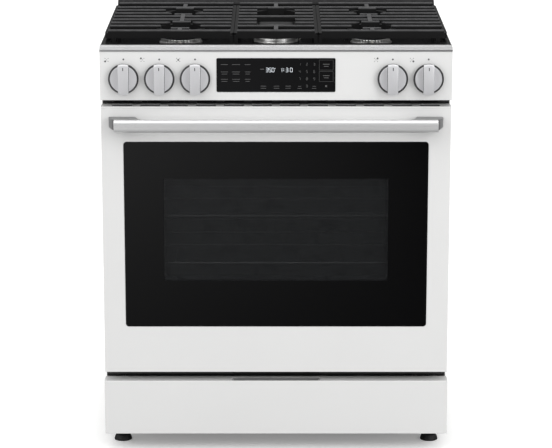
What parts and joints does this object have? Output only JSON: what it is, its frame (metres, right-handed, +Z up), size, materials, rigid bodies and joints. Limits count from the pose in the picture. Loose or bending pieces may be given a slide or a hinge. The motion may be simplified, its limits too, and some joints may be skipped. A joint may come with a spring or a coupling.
{
  "type": "freestanding gas range",
  "caption": "Freestanding gas range with sealed burners under cast-iron grates, front knobs, a bottom-hinged oven door with a window, and a storage drawer.",
  "frame": {"origin": "on the floor, under the middle of the bounding box", "axes": "+Z up, the front (door, knobs and drawer) faces -Y, +X to the right of someone facing the front"},
  "size_m": [0.76, 0.728, 0.937],
  "materials": {
    "white_enamel": "gloss white enamel",
    "side_paint": "satin white paint",
    "stainless": "brushed",
    "knob_metal": "brushed, clear coated",
    "bezel_black": "gloss black",
    "black_enamel": "gloss black porcelain enamel",
    "cavity_enamel": "speckled dark porcelain enamel",
    "cast_iron": "matt black enamelled cast iron",
    "burner_aluminium": "satin cast",
    "galvanised": "plain galvanised sheet",
    "chassis_black": "satin black paint",
    "foot_black": "moulded nylon",
    "zinc": "zinc plated",
    "rack_chrome": "nickel-chrome plated wire",
    "glass_fibre": "glass-fibre wool",
    "gasket_braid": "braided glass-fibre rope",
    "black_glass": "tempered, black printed border",
    "clear_glass": "tempered clear",
    "display_black": "gloss black touch glass",
    "lamp_glass": "heat-resistant glass",
    "circuit_board": "solder mask",
    "brass": "machined",
    "ceramic": "unglazed white ceramic"
  },
  "bodies": {
    "chassis": {"left_side_panel": "side_paint", "right_side_panel": "side_paint", "rear_panel": "galvanised", "base_frame": "chassis_black", "leveling_feet": "foot_black", "case_screws": "zinc", "oven_liner": "cavity_enamel", "oven_insulation": "glass_fibre", "oven_front_frame": "black_enamel", "door_gasket": "gasket_braid", "oven_floor_panel": "cavity_enamel", "rack_guides": "rack_chrome", "oven_racks": "rack_chrome", "bake_burner": "zinc", "broil_burner": "zinc", "temperature_sensor": "zinc", "oven_lamp": "lamp_glass", "oven_flue": "galvanised", "hinge_receivers": "zinc", "drawer_rails": "zinc", "cooktop_pan": "black_enamel", "front_trim": "stainless", "rear_vent_trim": "black_enamel", "control_panel": "white_enamel", "knob_bezels": "bezel_black", "display_glass": "display_black", "control_board": "circuit_board", "gas_valves": "brass", "gas_manifold": "zinc", "pressure_regulator": "zinc", "spark_electrodes": "ceramic", "surface_burner_bases": "burner_aluminium", "left_front_burner_cap": "black_enamel", "right_front_burner_cap": "black_enamel", "left_rear_burner_cap": "black_enamel", "right_rear_burner_cap": "black_enamel", "centre_burner_cap": "black_enamel"},
    "oven_door": {"door_outer_frame": "white_enamel", "door_outer_glass": "black_glass", "door_inner_liner": "cavity_enamel", "door_inner_glass": "clear_glass", "door_top_cap": "white_enamel", "door_handle": "stainless", "handle_brackets": "stainless", "hinge_arms": "zinc"},
    "storage_drawer": {"drawer_front": "white_enamel", "drawer_box": "chassis_black"},
    "left_grate_body": {"left_grate": "cast_iron"},
    "centre_grate_body": {"centre_grate": "cast_iron"},
    "right_grate_body": {"right_grate": "cast_iron"},
    "stem_1": {"valve_stem_1": "brass"},
    "control_1": {"knob_1": "knob_metal"},
    "stem_2": {"valve_stem_2": "brass"},
    "control_2": {"knob_2": "knob_metal"},
    "stem_3": {"valve_stem_3": "brass"},
    "control_3": {"knob_3": "knob_metal"},
    "stem_4": {"valve_stem_4": "brass"},
    "control_4": {"knob_4": "knob_metal"},
    "stem_5": {"valve_stem_5": "brass"},
    "control_5": {"knob_5": "knob_metal"}
  },
  "joints": [
    {"name": "door_hinge", "type": "hinge", "parent": "chassis", "child": "oven_door", "pos_m": [0, -0.288, 0.203], "axis": [1, 0, 0], "range_deg": [0, 90], "stiffness_Nm_per_rad": 15, "springref_deg": -8.59},
    {"name": "drawer_slide", "type": "slide", "parent": "chassis", "child": "storage_drawer", "axis": [0, -1, 0], "range_m": [0, 0.4]},
    {"name": "knob_1_push", "type": "slide", "parent": "chassis", "child": "stem_1", "axis": [0, 1, 0], "range_m": [0, 0.003], "stiffness_N_per_m": 1200, "springref_m": -0.002},
    {"name": "knob_1_turn", "type": "hinge", "parent": "stem_1", "child": "control_1", "pos_m": [-0.328, -0.312, 0.845], "axis": [0, -1, 0], "range_deg": [0, 270]},
    {"name": "knob_2_push", "type": "slide", "parent": "chassis", "child": "stem_2", "axis": [0, 1, 0], "range_m": [0, 0.003], "stiffness_N_per_m": 1200, "springref_m": -0.002},
    {"name": "knob_2_turn", "type": "hinge", "parent": "stem_2", "child": "control_2", "pos_m": [-0.251, -0.312, 0.845], "axis": [0, -1, 0], "range_deg": [0, 270]},
    {"name": "knob_3_push", "type": "slide", "parent": "chassis", "child": "stem_3", "axis": [0, 1, 0], "range_m": [0, 0.003], "stiffness_N_per_m": 1200, "springref_m": -0.002},
    {"name": "knob_3_turn", "type": "hinge", "parent": "stem_3", "child": "control_3", "pos_m": [-0.174, -0.312, 0.845], "axis": [0, -1, 0], "range_deg": [0, 270]},
    {"name": "knob_4_push", "type": "slide", "parent": "chassis", "child": "stem_4", "axis": [0, 1, 0], "range_m": [0, 0.003], "stiffness_N_per_m": 1200, "springref_m": -0.002},
    {"name": "knob_4_turn", "type": "hinge", "parent": "stem_4", "child": "control_4", "pos_m": [0.251, -0.312, 0.845], "axis": [0, -1, 0], "range_deg": [0, 270]},
    {"name": "knob_5_push", "type": "slide", "parent": "chassis", "child": "stem_5", "axis": [0, 1, 0], "range_m": [0, 0.003], "stiffness_N_per_m": 1200, "springref_m": -0.002},
    {"name": "knob_5_turn", "type": "hinge", "parent": "stem_5", "child": "control_5", "pos_m": [0.328, -0.312, 0.845], "axis": [0, -1, 0], "range_deg": [0, 270]},
    {"name": "left_grate_lift", "type": "slide", "parent": "chassis", "child": "left_grate_body", "axis": [0, 0, 1], "range_m": [0, 0.12]},
    {"name": "centre_grate_lift", "type": "slide", "parent": "chassis", "child": "centre_grate_body", "axis": [0, 0, 1], "range_m": [0, 0.12]},
    {"name": "right_grate_lift", "type": "slide", "parent": "chassis", "child": "right_grate_body", "axis": [0, 0, 1], "range_m": [0, 0.12]}
  ]
}
